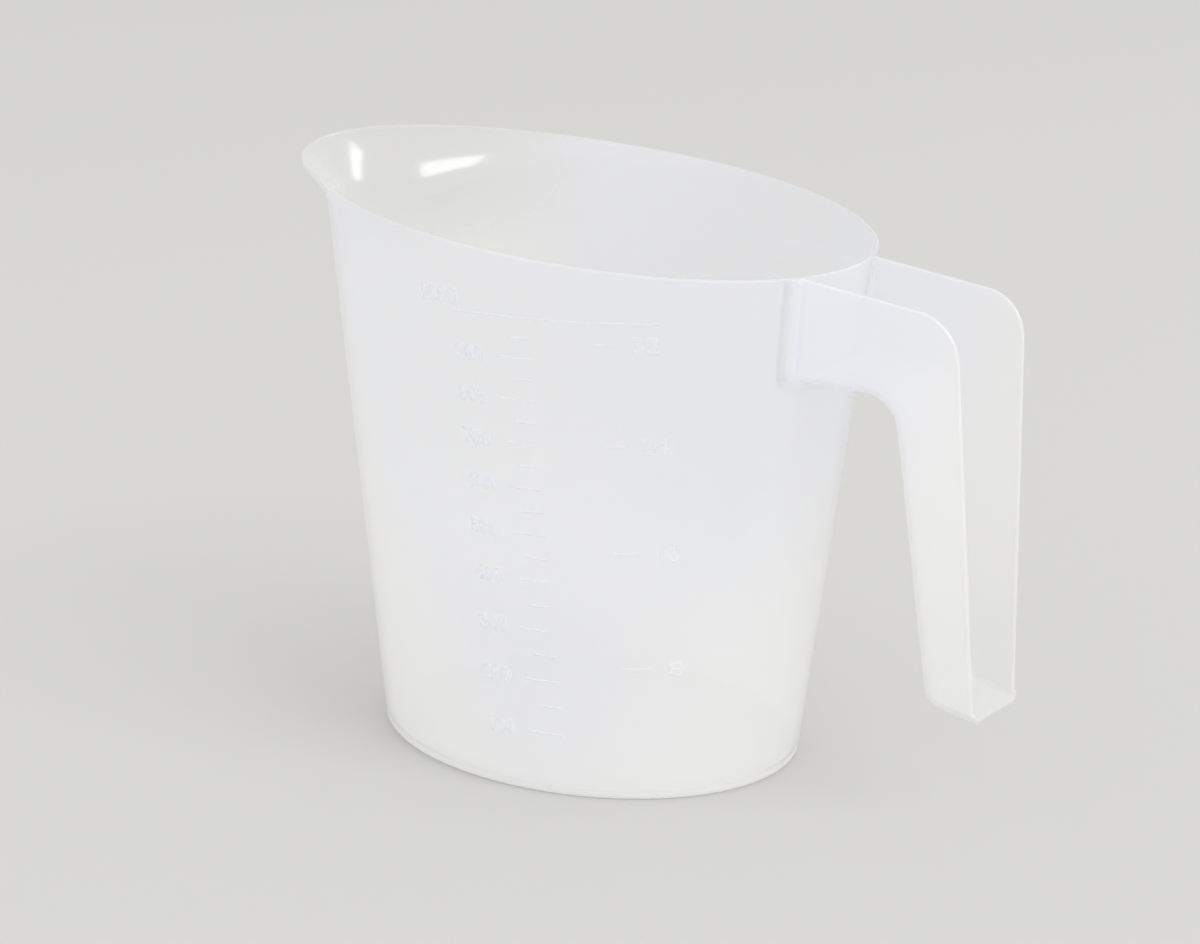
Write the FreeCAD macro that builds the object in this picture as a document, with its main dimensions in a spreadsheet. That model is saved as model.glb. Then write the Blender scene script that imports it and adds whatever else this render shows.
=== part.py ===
"""Plastic water pitcher: an oval tapered cup with a flared lip and an open hook handle, in one moulding.

Frame: millimetres, +Z up, origin at the middle of the underside. The lip points to -X, the handle to +X.
"""
import FreeCAD, Part
import math
import os
import Sketcher
from FreeCAD import Vector

doc = FreeCAD.newDocument("WaterPitcher")

# ---------------------------------------------------------------------------------------------
# Driving dimensions, millimetres and degrees
# ---------------------------------------------------------------------------------------------
SIZES = [
    ("base_half_length", 54.0, "oval underside, half its length along X"),
    ("base_half_width", 42.4, "oval underside, half its width along Y"),
    ("rim_half_length", 67.8, "oval at rim height, half its length"),
    ("rim_half_width", 56.2, "oval at rim height, half its width"),
    ("rim_shift", 3.5, "middle of the rim oval, moved towards the handle"),
    ("rim_height", 130.4, "rim above the table, over the origin"),
    ("rim_drop_angle", 6.45, "slope of the rim, down towards the handle"),
    ("wall", 1.0, "thickness of every wall"),
    ("floor_thickness", 1.6, "thickness of the bottom"),
    ("foot_radius", 1.4, "rounding between the wall and the underside"),
    ("inner_foot_radius", 1.0, "rounding between the wall and the bottom, inside"),
    ("lip_reach", 10.7, "how far the lip flares out at the front"),
    ("lip_depth", 17.0, "height over which the wall turns out into the lip, at the front"),
    ("lip_least_depth", 3.0, "the same where the lip runs out into the rim at the sides"),
    ("lip_spread_angle", 40.5, "half the angle over which the lip spreads"),
    ("handle_top_reach", 105.9, "outer corner of the handle, from the origin"),
    ("handle_foot_reach", 111.0, "outer tip of the grip, from the origin"),
    ("handle_foot_height", 29.2, "outer tip of the grip, above the table"),
    ("handle_floor_rise", 2.4, "slope of the grip's floor, up towards the cup"),
    ("handle_corner_radius", 10.4, "rounding of the handle's outer corner"),
    ("grip_top_reach", 90.4, "finger side of the grip at the arm, from the origin"),
    ("grip_foot_reach", 98.4, "finger side of the grip at its foot, from the origin"),
    ("arm_height", 99.5, "underside of the arm, above the table"),
    ("finger_radius", 8.1, "rounding between the arm and the grip"),
    ("grip_toe_radius", 4.8, "rounding at the grip's inner toe"),
    ("cheek_half_width_low", 7.8, "half the handle's width at table height"),
    ("cheek_half_width_high", 15.7, "half the handle's width at rim height"),
    ("cheek_radius", 1.6, "rounding between the cheeks and the finger side"),
]

sheet = doc.addObject("Spreadsheet::Sheet", "Sizes")
for row, (alias, value, meaning) in enumerate(SIZES, start=1):
    sheet.set("A%d" % row, meaning)
    sheet.set("B%d" % row, str(value))
    sheet.setAlias("B%d" % row, alias)
doc.recompute()


def size(alias):
    return float(sheet.get(alias))


# ---------------------------------------------------------------------------------------------
# Cup: oval sections lofted from the table to the sloping rim, with the lip flaring out in front
# ---------------------------------------------------------------------------------------------
RIM_SLOPE = -math.tan(math.radians(size("rim_drop_angle")))
LIP_START = 1.0 - math.hypot(size("lip_depth"), size("lip_least_depth")) / size("rim_height")
LIP_CURVE = 2.0              # how late the flare turns outwards
SECTION_POINTS = 36
FIRST_JOIN = math.pi / 4.0    # each outline is four curves, whose joins are clear of the lip and the handle
FOOT_STEPS = 4
LIP_STEPS = 8
CLEAR = 1.02                 # level above the rim to which the hollow is carried, so that it cuts cleanly


def oval(height):
    """Half length, half width and middle of the cup's oval at a height."""
    share = height / size("rim_height")
    half_length = size("base_half_length") + share * (size("rim_half_length") - size("base_half_length"))
    half_width = size("base_half_width") + share * (size("rim_half_width") - size("base_half_width"))
    return half_length, half_width, share * size("rim_shift")


def flare(level, from_front):
    """Reach of the lip at a level and an angle from its front, and how steeply it leans out there.

    The lip keeps much the same profile all round: where it reaches out less, it also starts higher up.
    """
    window = math.exp(-(from_front / math.radians(size("lip_spread_angle"))) ** 2)
    depth = math.hypot(window * size("lip_depth"), size("lip_least_depth"))
    share = max(0.0, 1.0 - (1.0 - level) * size("rim_height") / depth)
    reach = window * size("lip_reach")
    return reach * share ** LIP_CURVE, reach / depth * LIP_CURVE * share ** (LIP_CURVE - 1.0)


def section(level, wall):
    """Closed outline of the cup at a level, from 0 at the table to 1 at the rim, `wall` inside its skin."""
    growth = (size("rim_half_length") - size("base_half_length")) / size("rim_height")
    drift = size("rim_shift") / size("rim_height")
    points = []
    for step in range(SECTION_POINTS):
        angle = FIRST_JOIN + 2.0 * math.pi * step / SECTION_POINTS
        tilt = level * RIM_SLOPE
        height = level * size("rim_height") + tilt * size("base_half_length") * math.cos(angle)
        height /= 1.0 - tilt * (drift + growth * math.cos(angle))
        half_length, half_width, middle = oval(height)
        normal = Vector(math.cos(angle) / half_length, math.sin(angle) / half_width, 0).normalize()
        reach, lean = flare(level, math.acos(-math.cos(angle)))
        outwards = reach - wall * math.hypot(1.0, lean)
        x = middle + half_length * math.cos(angle) + outwards * normal.x
        y = half_width * math.sin(angle) + outwards * normal.y
        points.append(Vector(x, y, level * (size("rim_height") + RIM_SLOPE * x)))
    outline = Part.BSplineCurve()
    outline.interpolate(Points=points, PeriodicFlag=True)
    joins = outline.getKnots()[::SECTION_POINTS // 4]
    return Part.Wire([outline.toShape(start, end) for start, end in zip(joins[:-1], joins[1:])])


def cup_solid(bottom, last_level, wall, foot):
    """Solid from a height to a level: rounded in at the foot, straight up to the lip's root, then flaring."""
    foot_sections = []
    for step in range(FOOT_STEPS + 1):
        angle = 0.5 * math.pi * step / FOOT_STEPS
        height = bottom + foot * (1.0 - math.sin(angle))
        foot_sections.append(section(height / size("rim_height"), wall + foot * (1.0 - math.cos(angle))))
    lip_levels = [last_level - (last_level - LIP_START) * (1.0 - step / LIP_STEPS) ** 1.5
                  for step in range(LIP_STEPS + 1)]
    rounded = Part.makeLoft(foot_sections[::-1], True, False)
    straight = Part.makeLoft([foot_sections[0], section(LIP_START, wall)], True, True)
    lip = Part.makeLoft([section(level, wall) for level in lip_levels], True, False)
    return rounded.fuse([straight, lip]).removeSplitter()


skin = doc.addObject("Part::Feature", "CupSkin")
skin.Shape = cup_solid(0.0, 1.0, 0.0, size("foot_radius"))
hollow = doc.addObject("Part::Feature", "CupHollow")
hollow.Shape = cup_solid(size("floor_thickness"), CLEAR, size("wall"), size("inner_foot_radius"))
core = doc.addObject("Part::Feature", "CupCore")      # to the middle of the wall, where the handle ends
core.Shape = cup_solid(size("floor_thickness"), CLEAR, 0.5 * size("wall"), size("inner_foot_radius"))

# ---------------------------------------------------------------------------------------------
# Handle: a hook-shaped block, and the channel that opens it above and outside
# ---------------------------------------------------------------------------------------------
CHEEK_LOW = "Sizes.cheek_half_width_low"
CHEEK_HIGH = "Sizes.cheek_half_width_high"
TOE_HEIGHT = "(Sizes.handle_foot_height + Sizes.handle_floor_rise)"
RIM_TANGENT = "tan(Sizes.rim_drop_angle * 1 deg)"
GRIP_LEAN = "((Sizes.grip_foot_reach - Sizes.grip_top_reach) / (Sizes.arm_height - %s))" % TOE_HEIGHT
FLOOR_SLOPE = "(Sizes.handle_floor_rise / (Sizes.handle_foot_reach - Sizes.grip_foot_reach))"


def outline_sketch(body, name, plane, outlines):
    """Sketch of straight-sided outlines. Each corner is (x, y, x rule, y rule): a guess and the sheet's rule."""
    sketch = body.newObject("Sketcher::SketchObject", name)
    sketch.AttachmentSupport = [(item, "") for item in body.Origin.OriginFeatures if item.Role == plane]
    sketch.MapMode = "FlatFace"
    for corners in outlines:
        first = sketch.GeometryCount
        count = len(corners)
        for index, corner in enumerate(corners):
            following = corners[(index + 1) % count]
            line = Part.LineSegment(Vector(corner[0], corner[1], 0), Vector(following[0], following[1], 0))
            sketch.addGeometry(line, False)
        for index in range(count):
            here = first + index
            following = first + (index + 1) % count
            sketch.addConstraint(Sketcher.Constraint("Coincident", here, 2, following, 1))
        for index, (x, y, x_rule, y_rule) in enumerate(corners):
            for kind, value, rule in (("DistanceX", x, x_rule), ("DistanceY", y, y_rule)):
                ends = (-1, 1, first + index, 1) if value >= 0 else (first + index, 1, -1, 1)
                number = sketch.addConstraint(Sketcher.Constraint(kind, *ends, abs(value)))
                sketch.setExpression("Constraints[%d]" % number, rule)
    return sketch


def tapered_block(body, name, side_corners, wedge_corners):
    """Block with a given side view, wedged off both sides so that it narrows towards the foot."""
    block = body.newObject("PartDesign::Pad", name + "Block")
    block.Profile = outline_sketch(body, name + "Outline", "XZ_Plane", [side_corners])
    block.SideType = "Symmetric"
    block.Length = 40
    block.setExpression("Length", "2.5 * " + CHEEK_HIGH)
    wedges = [[(side * x, y, x_rule, y_rule) for x, y, x_rule, y_rule in wedge_corners] for side in (1.0, -1.0)]
    taper = body.newObject("PartDesign::Pocket", name + "Taper")
    taper.Profile = outline_sketch(body, name + "Wedges", "YZ_Plane", wedges)
    taper.SideType = "Symmetric"
    taper.Length = 500
    taper.setExpression("Length", "5 * Sizes.handle_foot_reach")
    doc.recompute()
    return taper


def rounding(body, name, base, edges, radius_rule):
    """Fillet on the given edges of the body's last feature."""
    names = ["Edge%d" % number for number, edge in enumerate(base.Shape.Edges, start=1)
             if any(edge.isSame(wanted) for wanted in edges)]
    fillet = body.newObject("PartDesign::Fillet", name)
    fillet.Base = (base, names)
    fillet.setExpression("Radius", radius_rule)
    doc.recompute()
    return fillet


def edge_across(shape, x, z):
    """The edge across the handle that passes nearest a point of its side view."""
    across = [edge for edge in shape.Edges if edge.BoundBox.XLength < 0.01 and edge.BoundBox.ZLength < 0.01]
    return [min(across, key=lambda edge: math.hypot(edge.CenterOfMass.x - x, edge.CenterOfMass.z - z))]


# side view of the hook: arm along the rim, grip down the outside; it starts inside the cup's hollow
handle = doc.addObject("PartDesign::Body", "Handle")
hook = tapered_block(handle, "Hook", [
    (54.0, 124.3, "Sizes.base_half_length", "Sizes.rim_height - Sizes.base_half_length * " + RIM_TANGENT),
    (105.9, 118.4, "Sizes.handle_top_reach", "Sizes.rim_height - Sizes.handle_top_reach * " + RIM_TANGENT),
    (111.0, 29.2, "Sizes.handle_foot_reach", "Sizes.handle_foot_height"),
    (98.4, 31.6, "Sizes.grip_foot_reach", TOE_HEIGHT),
    (90.4, 99.5, "Sizes.grip_top_reach", "Sizes.arm_height"),
    (54.0, 99.5, "Sizes.base_half_length", "Sizes.arm_height"),
], [
    (7.8, 0.0, CHEEK_LOW, "0"),
    (31.4, 0.0, "2 * " + CHEEK_HIGH, "0"),
    (31.4, 130.4, "2 * " + CHEEK_HIGH, "Sizes.rim_height"),
    (15.7, 130.4, CHEEK_HIGH, "Sizes.rim_height"),
])
rim_at_corner = size("rim_height") + RIM_SLOPE * size("handle_top_reach")
toe_height = size("handle_foot_height") + size("handle_floor_rise")
hook = rounding(handle, "OuterCorner", hook, edge_across(hook.Shape, size("handle_top_reach"), rim_at_corner),
                "Sizes.handle_corner_radius")
hook = rounding(handle, "GripToe", hook, edge_across(hook.Shape, size("grip_foot_reach"), toe_height),
                "Sizes.grip_toe_radius")
hook = rounding(handle, "FingerArch", hook, edge_across(hook.Shape, size("grip_top_reach"), size("arm_height")),
                "Sizes.finger_radius")


def facing(face):
    """Outward normal at the middle of a face."""
    first_u, last_u, first_v, last_v = face.ParameterRange
    return face.normalAt((first_u + last_u) / 2.0, (first_v + last_v) / 2.0)


def finger_side_edges(shape):
    """Edges between the cheeks and the run of faces that the fingers touch: under the arm and down the grip."""
    found = []
    for face in shape.Faces:
        outwards = facing(face)
        if abs(outwards.y) < 0.5 and outwards.x + outwards.z < 0 and face.BoundBox.XLength + face.BoundBox.ZLength > 1:
            if face.BoundBox.XMax > size("base_half_length") + 0.01:
                found += [edge for edge in face.Edges if edge.BoundBox.XLength + edge.BoundBox.ZLength > 0.01
                          and abs(edge.CenterOfMass.y) > 1]
    return found


hook = rounding(handle, "CheekRounding", hook, finger_side_edges(hook.Shape), "Sizes.cheek_radius")
handle.Tip = hook

# the channel follows the same outline, one wall in, and runs out past the top and the outside
WEB = "Sizes.wall * sqrt(1 + %s ^ 2)" % GRIP_LEAN
FLOOR = "Sizes.wall * sqrt(1 + %s ^ 2)" % FLOOR_SLOPE
channel = doc.addObject("PartDesign::Body", "Channel")
groove = tapered_block(channel, "Channel", [
    (54.0, 150.4, "Sizes.base_half_length", "Sizes.rim_height + 20"),
    (121.0, 150.4, "Sizes.handle_foot_reach + 10", "Sizes.rim_height + 20"),
    (121.0, 30.2, "Sizes.handle_foot_reach + 10", "Sizes.handle_foot_height + " + FLOOR),
    (111.0, 30.2, "Sizes.handle_foot_reach", "Sizes.handle_foot_height + " + FLOOR),
    (99.3, 32.4, "Sizes.grip_foot_reach + %s - Sizes.wall * %s" % (WEB, GRIP_LEAN),
     "%s + %s - Sizes.wall * %s" % (TOE_HEIGHT, FLOOR, FLOOR_SLOPE)),
    (91.3, 100.5, "Sizes.grip_top_reach + %s - Sizes.wall * %s" % (WEB, GRIP_LEAN), "Sizes.arm_height + Sizes.wall"),
    (54.0, 100.5, "Sizes.base_half_length", "Sizes.arm_height + Sizes.wall"),
], [
    (6.8, 0.0, CHEEK_LOW + " - Sizes.wall", "0"),
    (31.4, 0.0, "2 * " + CHEEK_HIGH, "0"),
    (31.4, 160.4, "2 * " + CHEEK_HIGH, "Sizes.rim_height + 30"),
    (14.7, 160.4, CHEEK_HIGH + " - Sizes.wall", "Sizes.rim_height + 30"),
    (14.7, 130.4, CHEEK_HIGH + " - Sizes.wall", "Sizes.rim_height"),
])
groove = rounding(channel, "InnerToe", groove,
                  edge_across(groove.Shape, size("grip_foot_reach") + size("wall"), toe_height + size("wall")),
                  "Sizes.grip_toe_radius - Sizes.wall")
groove = rounding(channel, "InnerArch", groove,
                  edge_across(groove.Shape, size("grip_top_reach") + size("wall"), size("arm_height") + size("wall")),
                  "Sizes.finger_radius + Sizes.wall")
channel.Tip = groove

# ---------------------------------------------------------------------------------------------
# One moulding: cup and handle joined, then hollowed
# ---------------------------------------------------------------------------------------------
cup = doc.addObject("Part::Cut", "Cup")
cup.Base = skin
cup.Tool = hollow
open_hook = doc.addObject("Part::Cut", "OpenHook")
open_hook.Base = handle
open_hook.Tool = channel
rooted_hook = doc.addObject("Part::Cut", "RootedHook")
rooted_hook.Base = open_hook
rooted_hook.Tool = core
pitcher = doc.addObject("Part::Fuse", "Pitcher")
pitcher.Label = "pitcher"
pitcher.Base = cup
pitcher.Tool = rooted_hook
doc.recompute()

for item in doc.Objects:
    if "Invalid" in item.State or "Error" in item.State:
        raise RuntimeError("%s: %s" % (item.Name, item.State))

os.makedirs("parts", exist_ok=True)
for item in [pitcher]:
    shape = item.Shape
    if shape.isNull() or not shape.isValid() or len(shape.Solids) != 1:
        raise RuntimeError("%s is not one valid solid" % item.Label)
    shape.exportStep("parts/%s.step" % item.Label)
    box = shape.BoundBox
    print("%s: %.1f cm3, X %.1f to %.1f, Y %.1f to %.1f, Z %.1f to %.1f"
          % (item.Label, shape.Volume / 1000, box.XMin, box.XMax, box.YMin, box.YMax, box.ZMin, box.ZMax))
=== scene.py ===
import math
import bmesh
import bpy
from mathutils import Matrix, Vector


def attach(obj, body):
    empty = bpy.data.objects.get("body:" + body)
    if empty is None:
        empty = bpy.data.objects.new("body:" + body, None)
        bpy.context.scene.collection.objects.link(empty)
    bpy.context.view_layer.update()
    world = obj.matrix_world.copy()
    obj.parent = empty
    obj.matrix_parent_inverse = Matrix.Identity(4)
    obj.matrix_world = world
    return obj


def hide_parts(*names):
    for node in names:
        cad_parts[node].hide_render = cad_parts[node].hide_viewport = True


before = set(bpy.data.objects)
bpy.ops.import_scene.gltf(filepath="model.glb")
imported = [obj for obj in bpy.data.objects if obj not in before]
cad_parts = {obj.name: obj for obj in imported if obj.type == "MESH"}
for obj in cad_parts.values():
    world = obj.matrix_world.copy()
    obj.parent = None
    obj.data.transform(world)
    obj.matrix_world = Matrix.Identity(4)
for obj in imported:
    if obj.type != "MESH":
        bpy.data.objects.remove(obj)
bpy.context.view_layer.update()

# ------------------------------------------------------------------------------------------------
# The cup. It is the body of a single injection moulding in natural, undyed polypropylene: an oval
# tub that widens upwards, with a rim that slopes down to the handle and a lip that flares out in front.
# ------------------------------------------------------------------------------------------------
base_half_length = 0.0540
base_half_width = 0.0424
rim_half_length = 0.0678
rim_half_width = 0.0562
rim_shift = 0.0035
rim_height = 0.1304
rim_slope = -math.tan(math.radians(6.45))
wall = 0.0010
floor_thickness = 0.0016
foot_radius = 0.0014
inner_foot_radius = 0.0010
lip_reach = 0.0107
lip_depth = 0.0170
lip_least_depth = 0.0030
lip_spread = math.radians(40.5)
around = 240
foot_steps = 6
rim_steps = 8
wall_steps = 24
lip_steps = 26
# Colours of the painted light on the plastic: warm below and at both ends, cool above.
warm_painted_light_tint = (0.985, 0.982, 0.958, 1)
cool_painted_light_tint = (0.945, 0.955, 0.998, 1)


def oval(height):
    """Half length, half width and middle of the cup's oval at a height."""
    share = height / rim_height
    half_length = base_half_length + share * (rim_half_length - base_half_length)
    half_width = base_half_width + share * (rim_half_width - base_half_width)
    return half_length, half_width, share * rim_shift


def lip_flare(level, angle):
    """How far the lip has turned out at a level and an angle, and how steeply it leans there."""
    window = math.exp(-(math.acos(-math.cos(angle)) / lip_spread) ** 2)
    depth = math.hypot(window * lip_depth, lip_least_depth)
    share = max(0.0, 1.0 - (1.0 - level) * rim_height / depth)
    return lip_reach * window * share ** 2, 2.0 * lip_reach * window / depth * share


def skin_point(level, angle, inset):
    """Point on the cup's skin, or `inset` inside it; level 0 is the table and level 1 the rim."""
    growth = (rim_half_length - base_half_length) / rim_height
    tilt = level * rim_slope
    height = level * rim_height + tilt * base_half_length * math.cos(angle)
    height /= 1.0 - tilt * (rim_shift / rim_height + growth * math.cos(angle))
    half_length, half_width, middle = oval(height)
    normal = Vector((math.cos(angle) / half_length, math.sin(angle) / half_width)).normalized()
    reach, lean = lip_flare(level, angle)
    outwards = reach - inset * math.hypot(1.0, lean)
    x = middle + half_length * math.cos(angle) + outwards * normal.x
    y = half_width * math.sin(angle) + outwards * normal.y
    return Vector((x, y, level * (rim_height + rim_slope * x)))


def cup_profile():
    """(level, inset) pairs from under the foot, up the skin, over the rim and down inside."""
    profile = []
    for step in range(foot_steps + 1):
        turn = 0.5 * math.pi * step / foot_steps
        level = foot_radius * (1 - math.sin(turn)) / rim_height
        profile.append((level, foot_radius * (1 - math.cos(turn))))
    profile.reverse()
    lip_start = 1.0 - math.hypot(lip_depth, lip_least_depth) / rim_height
    climb = [lip_start * step / wall_steps for step in range(1, wall_steps)]
    climb += [lip_start + (1.0 - lip_start) * (step / lip_steps) ** 0.7 for step in range(lip_steps)]
    half_wall = 0.5 * wall
    rim_start = 1.0 - half_wall / rim_height
    climb = [level for level in climb if foot_radius / rim_height < level < rim_start - 0.001]
    profile += [(level, 0.0) for level in climb]
    for step in range(rim_steps + 1):
        turn = math.pi * step / rim_steps
        level = rim_start + half_wall * math.sin(turn) / rim_height
        profile.append((level, half_wall * (1 - math.cos(turn))))
    inner_foot = (floor_thickness + inner_foot_radius) / rim_height
    profile += [(level, wall) for level in reversed(climb) if level > inner_foot]
    for step in range(foot_steps + 1):
        turn = 0.5 * math.pi * step / foot_steps
        sunk = floor_thickness + inner_foot_radius * (1 - math.sin(turn))
        profile.append((sunk / rim_height, wall + inner_foot_radius * (1 - math.cos(turn))))
    return profile


def build_cup():
    """Cup with its lip, as one closed skin: the profile is swept round, then the floor is closed."""
    mesh = bmesh.new()
    rings = []
    for level, inset in cup_profile():
        angles = [2 * math.pi * step / around for step in range(around)]
        rings.append([mesh.verts.new(skin_point(level, angle, inset)) for angle in angles])
    for lower, upper in zip(rings[:-1], rings[1:]):
        for step in range(around):
            after = (step + 1) % around
            mesh.faces.new((lower[step], lower[after], upper[after], upper[step]))
    for edge_ring, upwards in ((rings[0], False), (rings[-1], True)):
        previous = edge_ring
        for share in (0.8, 0.5, 0.2):
            ring = [mesh.verts.new((v.co.x * share, v.co.y * share, v.co.z)) for v in edge_ring]
            for step in range(around):
                after = (step + 1) % around
                corners = (previous[step], previous[after], ring[after], ring[step])
                mesh.faces.new(corners if upwards else corners[::-1])
            previous = ring
        mesh.faces.new(previous if upwards else previous[::-1])
    data = bpy.data.meshes.new("cup")
    mesh.to_mesh(data)
    mesh.free()
    data.shade_smooth()
    piece = bpy.data.objects.new("cup", data)
    bpy.context.scene.collection.objects.link(piece)
    return piece


def polypropylene_painted_light_and_relief():
    """Tint with painted light, warm at both ends and at the foot and cool higher up, with a random
    cloudy tone, and fine relief, for every plastic below.
    """
    look = bpy.data.node_groups.new("polypropylene_painted_light_and_relief", "ShaderNodeTree")
    look.interface.new_socket("Warm Below", in_out="INPUT", socket_type="NodeSocketFloat")
    look.interface.new_socket("Cool Above", in_out="INPUT", socket_type="NodeSocketFloat")
    look.interface.new_socket("Tint", in_out="OUTPUT", socket_type="NodeSocketColor")
    look.interface.new_socket("Relief", in_out="OUTPUT", socket_type="NodeSocketFloat")
    node = look.nodes.new
    link = look.links.new
    given = node("NodeGroupInput")
    result = node("NodeGroupOutput")

    place = node("ShaderNodeTexCoord")
    height = node("ShaderNodeSeparateXYZ")
    link(place.outputs["Object"], height.inputs["Vector"])
    rise = node("ShaderNodeMapRange")
    rise.inputs["From Max"].default_value = rim_height
    link(height.outputs["Z"], rise.inputs["Value"])
    cloud = node("ShaderNodeTexNoise")
    cloud.inputs["Scale"].default_value = 28.0
    cloud.inputs["Detail"].default_value = 3.0
    link(place.outputs["Object"], cloud.inputs["Vector"])
    clouded = node("ShaderNodeMath")
    clouded.operation = "MULTIPLY_ADD"
    clouded.inputs[1].default_value = 0.30
    link(cloud.outputs["Fac"], clouded.inputs[0])
    link(rise.outputs["Result"], clouded.inputs[2])
    aside = node("ShaderNodeMath")
    aside.operation = "SUBTRACT"
    aside.inputs[1].default_value = 0.30 * base_half_length
    link(height.outputs["X"], aside.inputs[0])
    ends = node("ShaderNodeMath")
    ends.operation = "POWER"
    ends.inputs[1].default_value = 2.0
    link(aside.outputs[0], ends.inputs[0])
    spread = node("ShaderNodeMath")
    spread.operation = "MULTIPLY_ADD"
    spread.inputs[1].default_value = -0.60 / base_half_length ** 2
    link(ends.outputs[0], spread.inputs[0])
    link(clouded.outputs[0], spread.inputs[2])
    # Painted light: the tint runs from warm towards the table and at both ends to cool higher up, and
    # the cloud adds a random tone.
    coolness = node("ShaderNodeMapRange")
    coolness.interpolation_type = "SMOOTHSTEP"
    link(given.outputs["Warm Below"], coolness.inputs["From Min"])
    link(given.outputs["Cool Above"], coolness.inputs["From Max"])
    link(spread.outputs[0], coolness.inputs["Value"])
    tint = node("ShaderNodeMix")
    tint.data_type = "RGBA"
    tint.inputs["A"].default_value = warm_painted_light_tint
    tint.inputs["B"].default_value = cool_painted_light_tint
    link(coolness.outputs["Result"], tint.inputs["Factor"])
    link(tint.outputs["Result"], result.inputs["Tint"])

    grain = node("ShaderNodeTexNoise")
    grain.inputs["Scale"].default_value = 420.0
    grain.inputs["Detail"].default_value = 4.0
    link(place.outputs["Object"], grain.inputs["Vector"])
    ripple = node("ShaderNodeTexNoise")
    ripple.inputs["Scale"].default_value = 22.0
    ripple.inputs["Detail"].default_value = 2.0
    link(place.outputs["Object"], ripple.inputs["Vector"])
    relief = node("ShaderNodeMath")
    relief.operation = "MULTIPLY_ADD"
    relief.inputs[1].default_value = 0.04
    link(grain.outputs["Fac"], relief.inputs[0])
    link(ripple.outputs["Fac"], relief.inputs[2])
    link(relief.outputs[0], result.inputs["Relief"])
    return look


painted_light_and_relief = polypropylene_painted_light_and_relief()


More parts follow.
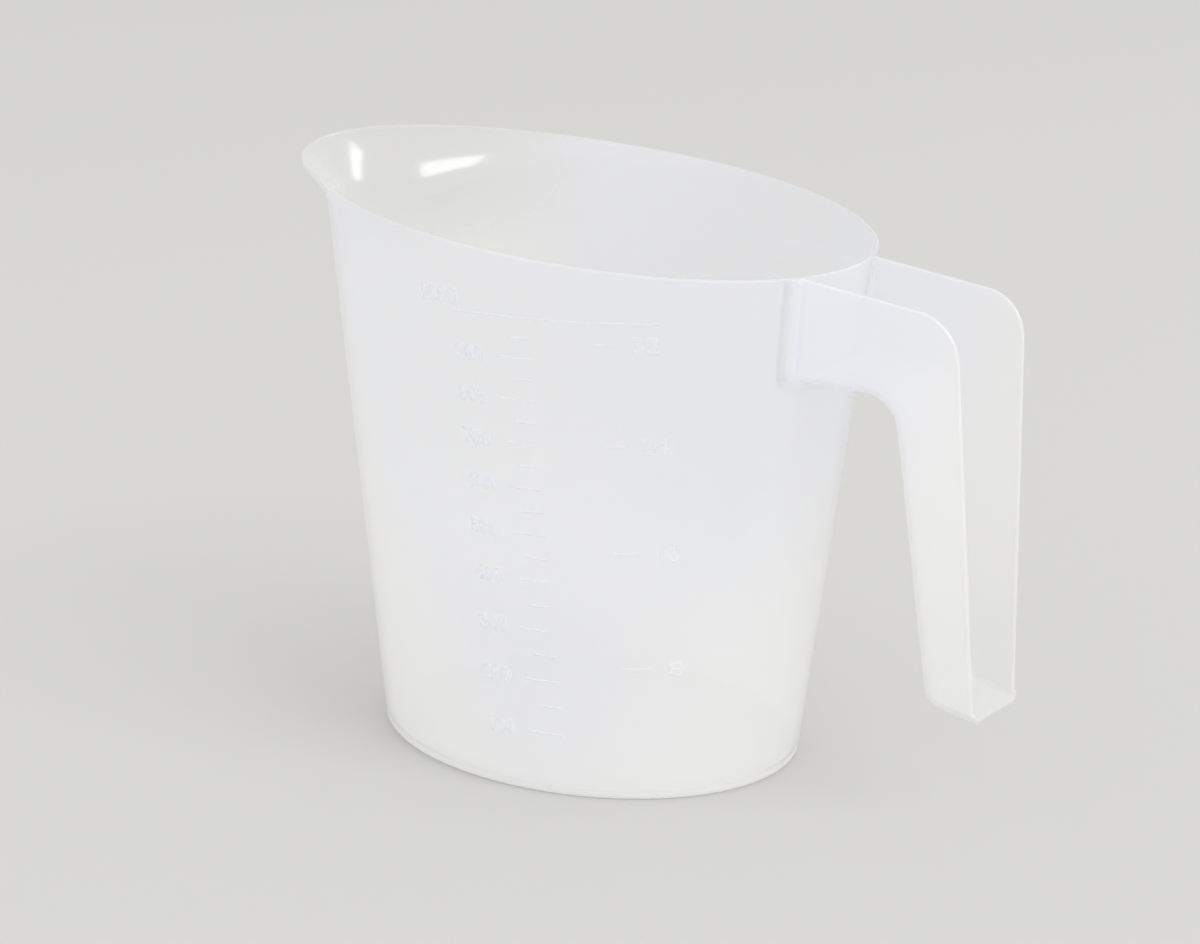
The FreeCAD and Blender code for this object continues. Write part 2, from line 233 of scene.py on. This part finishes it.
def natural_polypropylene(name, milk_high, milk_low, warm_below, cool_above):
    """Milky and half clear: each wall whitens what is behind it, more so near the table.

    A wall counts once, by the face towards the eye. It is made clearer near the rim at the lip, so
    that the lip shows darker there, and an attribute named feather fades it out where one piece runs
    into another.
    """
    material = bpy.data.materials.new(name)
    material.use_nodes = True
    tree = material.node_tree
    tree.nodes.clear()
    node = tree.nodes.new
    link = tree.links.new

    # The tint carries painted light: warm low and at both ends, cool higher up.
    look = node("ShaderNodeGroup")
    look.node_tree = painted_light_and_relief
    look.inputs["Warm Below"].default_value = warm_below
    look.inputs["Cool Above"].default_value = cool_above
    bump = node("ShaderNodeBump")
    bump.inputs["Strength"].default_value = 0.25
    bump.inputs["Distance"].default_value = 0.0006
    link(look.outputs["Relief"], bump.inputs["Height"])
    place = node("ShaderNodeTexCoord")
    height = node("ShaderNodeSeparateXYZ")
    link(place.outputs["Object"], height.inputs["Vector"])

    body = node("ShaderNodeBsdfPrincipled")
    body.inputs["Roughness"].default_value = 0.42
    body.inputs["IOR"].default_value = 1.49
    body.inputs["Specular IOR Level"].default_value = 0.2
    link(look.outputs["Tint"], body.inputs["Base Color"])
    link(bump.outputs["Normal"], body.inputs["Normal"])
    glow = node("ShaderNodeBsdfTranslucent")
    link(look.outputs["Tint"], glow.inputs["Color"])
    link(bump.outputs["Normal"], glow.inputs["Normal"])
    haze = node("ShaderNodeMixShader")
    haze.inputs["Fac"].default_value = 0.45
    link(body.outputs[0], haze.inputs[1])
    link(glow.outputs[0], haze.inputs[2])

    facing = node("ShaderNodeLayerWeight")
    facing.inputs["Blend"].default_value = 0.5
    link(bump.outputs["Normal"], facing.inputs["Normal"])
    slant = node("ShaderNodeMath")
    slant.operation = "POWER"
    slant.inputs[1].default_value = 3.0
    link(facing.outputs["Facing"], slant.inputs[0])
    density = node("ShaderNodeMapRange")
    density.inputs["To Max"].default_value = 0.62
    link(slant.outputs[0], density.inputs["Value"])
    milk = node("ShaderNodeMapRange")
    milk.interpolation_type = "SMOOTHSTEP"
    milk.inputs["From Max"].default_value = 0.7 * rim_height
    milk.inputs["To Min"].default_value = milk_low
    milk.inputs["To Max"].default_value = milk_high
    link(height.outputs["Z"], milk.inputs["Value"])
    # Clearer near the rim at the lip, so that the lip shows darker; the wall there is no thinner.
    near_rim = node("ShaderNodeMapRange")
    near_rim.interpolation_type = "SMOOTHSTEP"
    near_rim.inputs["From Min"].default_value = 0.80 * rim_height
    near_rim.inputs["From Max"].default_value = 0.97 * rim_height
    link(height.outputs["Z"], near_rim.inputs["Value"])
    near_lip = node("ShaderNodeMapRange")
    near_lip.interpolation_type = "SMOOTHSTEP"
    near_lip.inputs["From Min"].default_value = -0.40 * rim_half_length
    near_lip.inputs["From Max"].default_value = -0.95 * rim_half_length
    near_lip.inputs["To Max"].default_value = 0.78
    link(height.outputs["X"], near_lip.inputs["Value"])
    clearer_at_lip = node("ShaderNodeMath")
    clearer_at_lip.operation = "MULTIPLY"
    link(near_rim.outputs["Result"], clearer_at_lip.inputs[0])
    link(near_lip.outputs["Result"], clearer_at_lip.inputs[1])
    kept = node("ShaderNodeMath")
    kept.operation = "SUBTRACT"
    kept.inputs[0].default_value = 1.0
    link(clearer_at_lip.outputs[0], kept.inputs[1])
    least = node("ShaderNodeMath")
    least.operation = "MULTIPLY"
    link(milk.outputs["Result"], least.inputs[0])
    link(kept.outputs[0], least.inputs[1])
    link(least.outputs[0], density.inputs["To Min"])
    foot = node("ShaderNodeMapRange")
    foot.interpolation_type = "SMOOTHSTEP"
    foot.inputs["From Min"].default_value = 0.0050
    foot.inputs["From Max"].default_value = 0.0018
    foot.inputs["To Max"].default_value = 0.92
    link(height.outputs["Z"], foot.inputs["Value"])
    thick = node("ShaderNodeMath")
    thick.operation = "MAXIMUM"
    link(density.outputs["Result"], thick.inputs[0])
    link(foot.outputs["Result"], thick.inputs[1])
    side = node("ShaderNodeNewGeometry")
    front = node("ShaderNodeMath")
    front.operation = "SUBTRACT"
    front.inputs[0].default_value = 1.0
    link(side.outputs["Backfacing"], front.inputs[1])
    feather = node("ShaderNodeAttribute")
    feather.attribute_name = "feather"
    present = node("ShaderNodeMath")
    present.operation = "SUBTRACT"
    link(front.outputs[0], present.inputs[0])
    link(feather.outputs["Fac"], present.inputs[1])
    present.use_clamp = True
    solid = node("ShaderNodeMath")
    solid.operation = "MULTIPLY"
    link(thick.outputs[0], solid.inputs[0])
    link(present.outputs[0], solid.inputs[1])
    clear = node("ShaderNodeBsdfTransparent")
    skin = node("ShaderNodeMixShader")
    link(solid.outputs[0], skin.inputs["Fac"])
    link(clear.outputs[0], skin.inputs[1])
    link(haze.outputs[0], skin.inputs[2])

    steep = node("ShaderNodeMath")
    steep.operation = "POWER"
    steep.inputs[1].default_value = 5.0
    link(facing.outputs["Facing"], steep.inputs[0])
    mirror = node("ShaderNodeMapRange")
    mirror.inputs["To Min"].default_value = 0.04
    mirror.inputs["To Max"].default_value = 0.30
    link(steep.outputs[0], mirror.inputs["Value"])
    gloss = node("ShaderNodeBsdfGlossy")
    gloss.inputs["Roughness"].default_value = 0.14
    link(bump.outputs["Normal"], gloss.inputs["Normal"])
    surface = node("ShaderNodeMixShader")
    link(mirror.outputs["Result"], surface.inputs["Fac"])
    link(skin.outputs[0], surface.inputs[1])
    link(gloss.outputs[0], surface.inputs[2])

    out = node("ShaderNodeOutputMaterial")
    link(surface.outputs[0], out.inputs["Surface"])
    return material


polypropylene = natural_polypropylene("natural_polypropylene", 0.34, 0.67, 0.05, 0.52)
cup = build_cup()
cup.data.materials.append(polypropylene)
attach(cup, "root")

# ------------------------------------------------------------------------------------------------
# The handle. It is moulded in one with the cup: an arm along the rim and a grip that hangs down from
# it, both a thin web towards the fingers with a cheek on each side, open above and on the outside.
# ------------------------------------------------------------------------------------------------
handle_top_reach = 0.1059
handle_foot = Vector((0.1110, 0.0292))
toe = Vector((0.0984, 0.0316))
arm_corner = Vector((0.0904, 0.0995))
corner_radius = 0.0104
finger_radius = 0.0081
toe_radius = 0.0048
cheek_low = 0.0078
cheek_high = 0.0157
cheek_radius = 0.0016
root_fillet = 0.0026
feather_lift = 0.0012
web_start = 0.0664
end_lift = 0.0008
edge_points = 5
arch_steps = 18
grip_steps = 30
toe_steps = 10
arm_edge_steps = 12
corner_steps = 24
grip_edge_steps = 60
toe_share = 0.965
root_shares = (0.002, 0.006, 0.012, 0.02, 0.03, 0.045, 0.065, 0.09, 0.12, 0.2, 0.35, 0.55, 0.78)


def cheek_width(height):
    """Half the handle's width at a height."""
    return cheek_low + height / rim_height * (cheek_high - cheek_low)


def rim_line(x):
    """Place on the sloping line of the rim, seen from the side."""
    return Vector((x, rim_height + rim_slope * x))


def rounded_path(points, radii, run_counts, arc_counts):
    """Places and headings along straight runs through the points, with an arc at each inner point."""
    places = []
    start = points[0]
    for index, here in enumerate(points[1:-1]):
        before = (here - points[index]).normalized()
        after = (points[index + 2] - here).normalized()
        turn = math.atan2(before.x * after.y - before.y * after.x, before.dot(after))
        finish = here - before * radii[index] * math.tan(0.5 * abs(turn))
        centre = finish + math.copysign(radii[index], turn) * Vector((-before.y, before.x))
        for step in range(run_counts[index]):
            places.append((start.lerp(finish, step / run_counts[index]), before))
        for step in range(arc_counts[index]):
            swing = Matrix.Rotation(turn * step / arc_counts[index], 2)
            places.append((centre + swing @ (finish - centre), swing @ before))
        start = here + after * radii[index] * math.tan(0.5 * abs(turn))
    for step in range(run_counts[-1] + 1):
        places.append((start.lerp(points[-1], step / run_counts[-1]), after))
    return places


def along(places, length):
    """Place at a distance along a path of places."""
    for (here, _), (following, _) in zip(places[:-1], places[1:]):
        run = (following - here).length
        if length <= run:
            return here.lerp(following, length / run)
        length -= run
    return places[-1][0]


def hook_section(web, free_edge, inwards, skim=0.0):
    """Closed outline across the hook, cheek to cheek and back inside.

    Each point is its place seen from the side, its y, and the way the root's fillet spreads it.
    """
    reach = (free_edge - web - inwards * cheek_radius).normalized()
    edge_radius = 0.5 * wall - skim
    half = []
    for inset in (skim, wall - skim):
        radius = cheek_radius - inset
        start = web + inwards * (inset + radius)
        finish = free_edge - reach * edge_radius
        side = [(finish.lerp(start, step / 12), 0.0, 0.0) for step in range(12)]
        side = [(place, cheek_width(place.y) - inset, (1.0, 0.0)) for place, _, _ in side]
        for step in range(7):
            turn = 0.5 * math.pi * step / 6
            place = start - inwards * radius * math.sin(turn)
            side.append((place, cheek_width(web.y) - inset - radius * (1 - math.cos(turn)),
                         (math.cos(turn), -math.sin(turn))))
        flat = side[-1][1]
        side += [(side[-1][0], flat * (1 - step / 4), (0.0, -1.0)) for step in range(1, 4)]
        half.append(side)
    outer, inner = half
    outline = [(place, -y, (-n[0], n[1])) for place, y, n in outer]
    outline.append((outer[-1][0], 0.0, (0.0, -1.0)))
    outline += [(place, y, n) for place, y, n in reversed(outer)]
    for step in range(1, edge_points + 1):
        turn = math.pi * step / (edge_points + 1)
        place = free_edge + reach * edge_radius * (math.sin(turn) - 1)
        y = cheek_width(place.y) - skim - edge_radius * (1 - math.cos(turn))
        outline.append((place, y, (math.cos(turn), 0.0)))
    outline += [(place, y, (-0.3 * n[0], -0.3 * n[1])) for place, y, n in inner]
    outline.append((inner[-1][0], 0.0, (0.0, 0.3)))
    outline += [(place, -y, (0.3 * n[0], -0.3 * n[1])) for place, y, n in reversed(inner)]
    for step in range(1, edge_points + 1):
        turn = math.pi * step / (edge_points + 1)
        place = free_edge + reach * edge_radius * (math.sin(turn) - 1)
        y = cheek_width(place.y) - skim - edge_radius * (1 + math.cos(turn))
        outline.append((place, -y, (math.cos(turn), 0.0)))
    return outline


def cup_wall_at(y, height):
    """X of the cup's skin on the handle's side."""
    half_length, half_width, middle = oval(height)
    return middle + half_length * math.sqrt(1 - (y / half_width) ** 2)


def arm_ring(share, arm_end, sunk):
    """Section of the arm, from share 0 at the cup's wall to the start of the arch, with its fillet."""
    ring = []
    inwards = Vector((0, 1))
    for index in range(len(hook_section(Vector((arm_end, arm_corner.y)), rim_line(arm_end), inwards))):
        x = arm_end
        for _ in range(4):
            section = hook_section(Vector((x, arm_corner.y)), rim_line(x), inwards)
            place, y, normal = section[index]
            skin_x = cup_wall_at(y, place.y)
            x = skin_x + share * (arm_end - skin_x)
        gap = min(root_fillet, x - skin_x)
        spread = root_fillet - math.sqrt(root_fillet ** 2 - (root_fillet - gap) ** 2)
        if sunk:
            spread += 0.0006
        y += normal[0] * spread
        height = place.y + normal[1] * spread
        ring.append(Vector((x - skin_x + cup_wall_at(y, height) - sunk, y, height)))
    return ring


def build_handle():
    """Arm and grip in one skin, swept along the web and the free edge, with a half-round end."""
    up = (rim_line(handle_top_reach) - handle_foot).normalized()
    round_end = handle_foot - (handle_foot - toe).normalized() * 0.5 * wall
    web = rounded_path([Vector((web_start, arm_corner.y)), arm_corner, toe, round_end],
                       [finger_radius, toe_radius],
                       [1, grip_steps, toe_steps], [arch_steps, toe_steps])[1:]
    arm_end = web[0][0].x
    last_free = round_end + up * (cheek_radius + end_lift)
    edge = rounded_path([rim_line(arm_end), rim_line(handle_top_reach), last_free],
                        [corner_radius], [arm_edge_steps, grip_edge_steps], [corner_steps])
    lengths = [(here[0] - there[0]).length for here, there in zip(edge[1:], edge[:-1])]
    total = sum(lengths)
    arch_share = sum(lengths[:arm_edge_steps + corner_steps + 2]) / total
    toe_start = arch_steps + grip_steps
    floor_start = toe_start + toe_steps
    last = len(web) - 1
    rings = [arm_ring(0, arm_end, sunk) for sunk in (0.0005, 0.00003)]
    rings += [arm_ring(share, arm_end, 0) for share in root_shares]
    for index, (place, heading) in enumerate(web):
        if index <= arch_steps:
            share = arch_share * index / arch_steps
        elif index <= toe_start:
            share = arch_share + (toe_share - arch_share) * (index - arch_steps) / grip_steps
        else:
            share = toe_share + (1 - toe_share) * (index - toe_start) / (last - toe_start)
        inwards = Vector((-heading.y, heading.x))
        settle = max(0.0, (index - floor_start) / (last - floor_start))
        inwards = inwards.lerp(up, settle).normalized()
        section = hook_section(place, along(edge, share * total), inwards)
        rings.append([Vector((side.x, y, side.y)) for side, y, _ in section])
    for step in range(1, edge_points + 1):
        turn = 0.5 * math.pi * step / (edge_points + 1)
        ahead = heading * 0.5 * wall * math.sin(turn)
        skim = 0.5 * wall * (1 - math.cos(turn))
        section = hook_section(place + ahead, edge[-1][0] + ahead, inwards, skim)
        rings.append([Vector((side.x, y, side.y)) for side, y, _ in section])
    mesh = bmesh.new()
    count = len(rings[0])
    half = count // 2 - edge_points
    grid = [[mesh.verts.new(point) for point in ring] for ring in rings]
    for first, second in zip(grid[:-1], grid[1:]):
        for step in range(count):
            after = (step + 1) % count
            face = mesh.faces.new((first[step], second[step], second[after], first[after]))
            face.material_index = int(step % (half + edge_points) >= half - 1)
    for ring, order in ((grid[0], 1), (grid[-1], -1)):
        outer = ring[:half]
        first_edge = ring[half:half + edge_points][::-1]
        inner = ring[half + edge_points:2 * half + edge_points][::-1]
        last_edge = ring[2 * half + edge_points:][::-1]
        for step in range(half - 1):
            corners = (outer[step], outer[step + 1], inner[step + 1], inner[step])
            mesh.faces.new(corners[::order])
        mesh.faces.new(([inner[0], outer[0]] + last_edge)[::order])
        mesh.faces.new(([outer[-1], inner[-1]] + first_edge)[::order])
    bmesh.ops.recalc_face_normals(mesh, faces=mesh.faces)
    data = bpy.data.meshes.new("handle")
    mesh.to_mesh(data)
    mesh.free()
    data.shade_smooth()
    feather = data.attributes.new("feather", "FLOAT", "POINT")
    for index, vertex in enumerate(data.vertices):
        lift = vertex.co.x - cup_wall_at(vertex.co.y, vertex.co.z)
        feather.data[index].value = max(0.0, 1.0 - lift / feather_lift) ** 2
    piece = bpy.data.objects.new("handle", data)
    bpy.context.scene.collection.objects.link(piece)
    return piece


handle = build_handle()
handle.data.materials.append(natural_polypropylene("polypropylene_handle", 0.58, 0.26, -0.90, 0.30))
handle.data.materials.append(natural_polypropylene("polypropylene_end_on", 0.60, 0.42, -0.90, 0.30))
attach(handle, "root")
# Cup and handle together take the place of the one moulding.
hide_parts("pitcher")
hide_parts("pitcher")

# ------------------------------------------------------------------------------------------------
# The scale. Fine raised lines and plain numbers on both long sides, moulded with the wall from
# shallow cuts in the mould: hundreds of millilitres with a long line at one litre, and beside them
# a second column in steps of eight fluid ounces.
# ------------------------------------------------------------------------------------------------
mark_height = 0.00020
mark_sunk = 0.0002
mark_width = 0.0006
figure_size = 0.0050
full_line = (0.0054, 0.0486)
hundred_line = (0.0150, 0.0230)
half_step_line = (0.0180, 0.0230)
ounce_line = (0.0365, 0.0415)
litres_in_eight_ounces = 0.2366


def filled_to(litres):
    """Height of the water when the cup holds that much."""
    height = floor_thickness
    held = 0.0
    step = 0.0002
    while held < litres * 0.001:
        half_length, half_width, _ = oval(height)
        held += math.pi * (half_length - wall) * (half_width - wall) * step
        height += step
    return height


def on_side(side, x, height, proud):
    """Point on the long side of the cup, `proud` of its skin."""
    half_length, half_width, middle = oval(height)
    angle = math.acos((x - middle) / half_length)
    normal = Vector((math.cos(angle) / half_length, math.sin(angle) / half_width, 0)).normalized()
    across = half_width * math.sin(angle) + normal.y * proud
    return Vector((x + normal.x * proud, side * across, height))


def raised_line(mesh, side, start, finish, height):
    """Level ridge between two places along a side."""
    profile = ((-0.5, -mark_sunk), (-0.25, mark_height), (0.25, mark_height), (0.5, -mark_sunk))
    count = max(2, round(abs(finish - start) / 0.0015))
    rows = []
    for step in range(count + 1):
        x = start + (finish - start) * step / count
        rows.append([mesh.verts.new(on_side(side, x, height + level * mark_width, proud))
                     for level, proud in profile])
    for first, second in zip(rows[:-1], rows[1:]):
        for index in range(3):
            mesh.faces.new((first[index], second[index], second[index + 1], first[index + 1]))
        mesh.faces.new((first[3], second[3], second[0], first[0]))
    mesh.faces.new(rows[0])
    mesh.faces.new(rows[-1][::-1])


def raised_number(mesh, side, number, x, height, size):
    """Plain raised figures, upright and readable from outside, centred on a place."""
    words = bpy.data.curves.new("figure", "FONT")
    words.body = number
    words.size = size
    words.align_x = "CENTER"
    words.align_y = "CENTER"
    words.extrude = 0.5 * (mark_height + mark_sunk)
    words.resolution_u = 4
    words.offset = 0.00012
    figure = bpy.data.objects.new("figure", words)
    flat = bpy.data.meshes.new_from_object(figure)
    for vertex in flat.vertices:
        proud = vertex.co.z + 0.5 * (mark_height - mark_sunk)
        vertex.co = on_side(side, x - side * vertex.co.x, height + vertex.co.y, proud)
    mesh.from_mesh(flat)
    bpy.data.objects.remove(figure)
    bpy.data.curves.remove(words)
    bpy.data.meshes.remove(flat)


def build_scale():
    """All lines and numbers, the same on both long sides."""
    mesh = bmesh.new()
    for side in (-1, 1):
        full = filled_to(1.0)
        raised_line(mesh, side, *full_line, full)
        raised_number(mesh, side, "1000", 0.0005, full + 0.0030, 0.0056)
        for hundreds in range(1, 10):
            height = filled_to(0.1 * hundreds)
            raised_line(mesh, side, *hundred_line, height)
            raised_number(mesh, side, str(100 * hundreds), 0.0080, height, figure_size)
            raised_line(mesh, side, *half_step_line, filled_to(0.1 * hundreds + 0.05))
        for cups in range(1, 5):
            height = filled_to(litres_in_eight_ounces * cups)
            raised_line(mesh, side, *ounce_line, height)
            raised_number(mesh, side, str(8 * cups), 0.0460, height, figure_size)
    bmesh.ops.recalc_face_normals(mesh, faces=mesh.faces)
    data = bpy.data.meshes.new("scale_marks")
    mesh.to_mesh(data)
    mesh.free()
    piece = bpy.data.objects.new("scale_marks", data)
    bpy.context.scene.collection.objects.link(piece)
    return piece


scale_marks = build_scale()
raised_polypropylene = natural_polypropylene("polypropylene_raised", 0.26, 0.42, 0.05, 0.52)
scale_marks.data.materials.append(raised_polypropylene)
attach(scale_marks, "root")

# ------------------------------------------------------------------------------------------------
# The tabletop. A wide sheet with flat, pale paint, on which the pitcher stands; it reaches far enough
# out to meet the backdrop behind, which has the same colour.
# ------------------------------------------------------------------------------------------------
tabletop_colour = (0.579, 0.573, 0.544, 1)
tabletop_radius = 6.0


def build_tabletop():
    """Round flat sheet at the height of the foot."""
    mesh = bmesh.new()
    bmesh.ops.create_circle(mesh, cap_ends=True, segments=96, radius=tabletop_radius)
    data = bpy.data.meshes.new("tabletop")
    mesh.to_mesh(data)
    mesh.free()
    piece = bpy.data.objects.new("tabletop", data)
    bpy.context.scene.collection.objects.link(piece)
    return piece


tabletop = build_tabletop()
paint = bpy.data.materials.new("pale_paint")
paint.use_nodes = True
coat = paint.node_tree.nodes["Principled BSDF"]
coat.inputs["Base Color"].default_value = tabletop_colour
coat.inputs["Roughness"].default_value = 0.9
coat.inputs["Specular IOR Level"].default_value = 0.0
tabletop.data.materials.append(paint)

# ------------------------------------------------------------------------------------------------
# The light. An even soft light all round, a little stronger and cooler from the front, a large soft
# lamp to the right, and a small one behind that draws the bright streaks inside the lip.
# ------------------------------------------------------------------------------------------------
brighter_towards = (0.72, -0.60, 0.34)
dim_light = (0.775, 0.760, 0.731, 1)
bright_light = (1.244, 1.260, 1.340, 1)

world = bpy.data.worlds.new("studio")
bpy.context.scene.world = world
world.use_nodes = True
air = world.node_tree
around_us = air.nodes.new("ShaderNodeTexCoord")
towards = air.nodes.new("ShaderNodeVectorMath")
towards.operation = "DOT_PRODUCT"
towards.inputs[1].default_value = brighter_towards
air.links.new(around_us.outputs["Generated"], towards.inputs[0])
share = air.nodes.new("ShaderNodeMapRange")
share.inputs["From Min"].default_value = -1.0
air.links.new(towards.outputs["Value"], share.inputs["Value"])
light = air.nodes.new("ShaderNodeMix")
light.data_type = "RGBA"
light.inputs["A"].default_value = dim_light
light.inputs["B"].default_value = bright_light
air.links.new(share.outputs["Result"], light.inputs["Factor"])
soft_white = air.nodes["Background"]
air.links.new(light.outputs["Result"], soft_white.inputs["Color"])
backdrop = air.nodes.new("ShaderNodeBackground")
backdrop.inputs["Color"].default_value = tabletop_colour
backdrop.inputs["Strength"].default_value = 1.11
seen = air.nodes.new("ShaderNodeLightPath")
either = air.nodes.new("ShaderNodeMixShader")
air.links.new(seen.outputs["Is Camera Ray"], either.inputs["Fac"])
air.links.new(soft_white.outputs[0], either.inputs[1])
air.links.new(backdrop.outputs[0], either.inputs[2])
air.links.new(either.outputs[0], air.nodes["World Output"].inputs["Surface"])


def soft_lamp(name, target, azimuth, elevation, distance, width, height, power):
    """Rectangular lamp at a direction and a distance from a place, facing it."""
    turn = math.radians(azimuth)
    rise = math.radians(elevation)
    out = Vector((math.cos(turn) * math.cos(rise), math.sin(turn) * math.cos(rise), math.sin(rise)))
    lamp = bpy.data.lights.new(name, "AREA")
    lamp.shape = "RECTANGLE"
    lamp.size = width
    lamp.size_y = height
    lamp.energy = power
    holder = bpy.data.objects.new(name, lamp)
    holder.location = target + out * distance
    holder.rotation_euler = out.to_track_quat("Z", "Y").to_euler()
    bpy.context.scene.collection.objects.link(holder)
    return holder


middle = Vector((0, 0, 0.5 * rim_height))
lip = Vector((-rim_half_length, 0, rim_height))
soft_lamp("lamp_right", middle, -6, 40, 5.0, 2.85, 1.46, 62.0)
strip = soft_lamp("lamp_behind", lip, 75, 30, 0.45, 0.060, 0.150, 0.16)

# The small lamp is kept off the handle, where it would leave a streak along the arch.
lit_by_strip = bpy.data.collections.new("lit_by_strip")
lit_by_strip.objects.link(cup)
strip.light_linking.receiver_collection = lit_by_strip
# A line of sight may pass both sides of the cup, the web and both cheeks, at two faces each.
bpy.context.scene.cycles.transparent_max_bounces = 24

# ------------------------------------------------------------------------------------------------
# The camera. A little above the rim, towards the handle's side of the front, with a long lens, so
# that the cup, the open mouth and both cheeks of the handle are in sight.
# ------------------------------------------------------------------------------------------------
view_azimuth = math.radians(37.0)
view_elevation = math.radians(16.4)
view_distance = 0.6280
back = Vector((math.sin(view_azimuth) * math.cos(view_elevation),
               -math.cos(view_azimuth) * math.cos(view_elevation),
               math.sin(view_elevation)))
right = Vector((math.cos(view_azimuth), math.sin(view_azimuth), 0))
upwards = back.cross(right)
lens = bpy.data.cameras.new("camera")
lens.lens = 79.2
lens.sensor_width = 36.0
camera = bpy.data.objects.new("camera", lens)
aim = Vector((0, 0, 0.0648)) + right * 0.0026 - upwards * 0.0005
camera.location = aim + back * view_distance
camera.rotation_euler = back.to_track_quat("Z", "Y").to_euler()
bpy.context.scene.collection.objects.link(camera)
bpy.context.scene.camera = camera

bpy.context.scene.view_settings.view_transform = "Standard"
